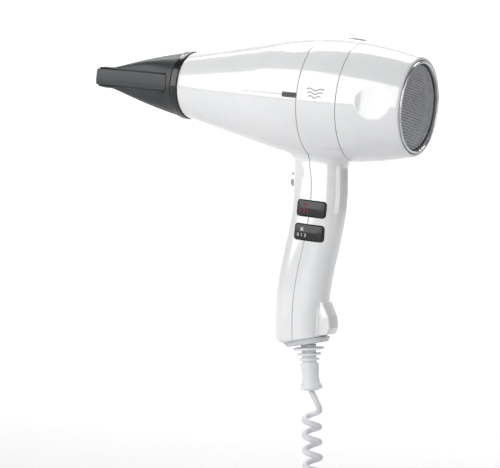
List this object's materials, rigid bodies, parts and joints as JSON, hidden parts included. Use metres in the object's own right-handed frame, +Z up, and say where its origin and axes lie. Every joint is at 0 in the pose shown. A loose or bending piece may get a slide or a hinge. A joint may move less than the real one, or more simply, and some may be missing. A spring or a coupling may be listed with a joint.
{
  "type": "hair dryer",
  "caption": "White hand-held hair dryer with a turning flat nozzle, S-shaped grip, two rockers, cool button, pull-off rear cover and curly cord.",
  "frame": {"origin": "middle of the hand grip, 105 mm below the barrel's axis and 3 mm behind the first seam", "axes": "+X along the barrel from the nozzle to the rear grille, +Z up from the grip to the barrel, the side with the rockers at -Y"},
  "size_m": [0.2624, 0.0904, 0.4583],
  "materials": {
    "white_shell": "gloss",
    "grey_plastic": "satin",
    "trim_dark": "satin",
    "steel": "satin",
    "chrome_rim": "polished",
    "steel_mesh": "satin",
    "black_plastic": "matte",
    "foam": "matte",
    "latch_grey": "satin",
    "collar_black": "satin",
    "nozzle_anthracite": "satin",
    "mica": "satin",
    "heater_wire": "satin",
    "white_ceramic": "satin",
    "grey_inner": "matte",
    "bronze": "satin",
    "copper": "satin",
    "rocker_dark": "gloss",
    "button_silver": "satin",
    "lead_brown": "satin",
    "lead_white": "satin",
    "boot_white": "satin",
    "cord_white": "satin",
    "tie_fabric": "matte",
    "plug_white": "satin",
    "pin_metal": "satin"
  },
  "bodies": {
    "root": {"front_shell": "white_shell", "mid_shell": "white_shell", "bottom_band": "grey_plastic", "trim_bars": "trim_dark", "handle_screws": "steel", "latch_spring": "steel", "outlet_spigot": "black_plastic", "outlet_grid": "black_plastic", "mica_sleeve": "mica", "mica_cross": "mica", "heating_coils": "heater_wire", "thermostat": "black_plastic", "thermal_fuse": "white_ceramic", "fan_duct": "grey_inner", "duct_screws": "steel", "motor_can": "steel", "motor_bearings": "bronze", "motor_stator": "copper", "motor_brushes": "black_plastic", "heat_switch": "black_plastic", "speed_switch": "black_plastic", "rocker_pins": "steel", "button_spring": "steel", "button_switch": "black_plastic", "cord_clamp": "grey_inner", "clamp_screws": "steel", "supply_leads": "lead_brown", "heater_leads": "lead_white", "strain_relief": "boot_white", "cord_core": "cord_white", "cord_lead": "cord_white", "cord_curl": "cord_white", "cord_tail": "cord_white", "cord_tie": "tie_fabric", "plug_body": "plug_white", "plug_pins": "pin_metal", "plug_relief": "boot_white"},
    "nozzle_collar": {"nozzle_collar": "collar_black"},
    "nozzle_duct": {"nozzle_duct": "nozzle_anthracite"},
    "rear_cover": {"rear_cover": "white_shell", "intake_rim": "chrome_rim", "intake_mesh": "steel_mesh", "filter_frame": "black_plastic", "filter_foam": "foam"},
    "cover_latch": {"cover_latch": "latch_grey"},
    "rotor": {"motor_armature": "copper", "motor_shaft": "steel", "fan_impeller": "black_plastic"},
    "cool_button": {"cool_button": "button_silver"},
    "heat_rocker": {"heat_rocker": "rocker_dark"},
    "speed_rocker": {"speed_rocker": "rocker_dark"}
  },
  "joints": [
    {"name": "nozzle_slide", "type": "slide", "parent": "root", "child": "nozzle_collar", "axis": [-1, 0, 0], "range_m": [0, 0.03]},
    {"name": "nozzle_turn", "type": "hinge", "parent": "nozzle_collar", "child": "nozzle_duct", "pos_m": [-0.121, 0, 0.105], "axis": [1, 0, 0], "continuous": true},
    {"name": "cover_slide", "type": "slide", "parent": "root", "child": "rear_cover", "axis": [1, 0, 0], "range_m": [0, 0.06]},
    {"name": "latch_press", "type": "slide", "parent": "root", "child": "cover_latch", "axis": [0, 0, -1], "range_m": [0, 0.0012], "stiffness_N_per_m": 600, "springref_m": -0.0006, "deforming": ["latch_spring"]},
    {"name": "rotor_spin", "type": "hinge", "parent": "root", "child": "rotor", "pos_m": [-0.003, 0, 0.105], "axis": [1, 0, 0], "continuous": true},
    {"name": "cool_button_press", "type": "slide", "parent": "root", "child": "cool_button", "axis": [1, 0, 0], "range_m": [0, 0.0018], "stiffness_N_per_m": 800, "springref_m": -0.0008, "deforming": ["button_spring"]},
    {"name": "heat_rocker_tip", "type": "hinge", "parent": "root", "child": "heat_rocker", "pos_m": [0.0023, -0.0116, 0.0246], "axis": [0, 0, 1], "range_deg": [-6, 6]},
    {"name": "speed_rocker_tip", "type": "hinge", "parent": "root", "child": "speed_rocker", "pos_m": [0.0023, -0.0116, 0.0072], "axis": [0, 0, 1], "range_deg": [-6, 6]}
  ]
}
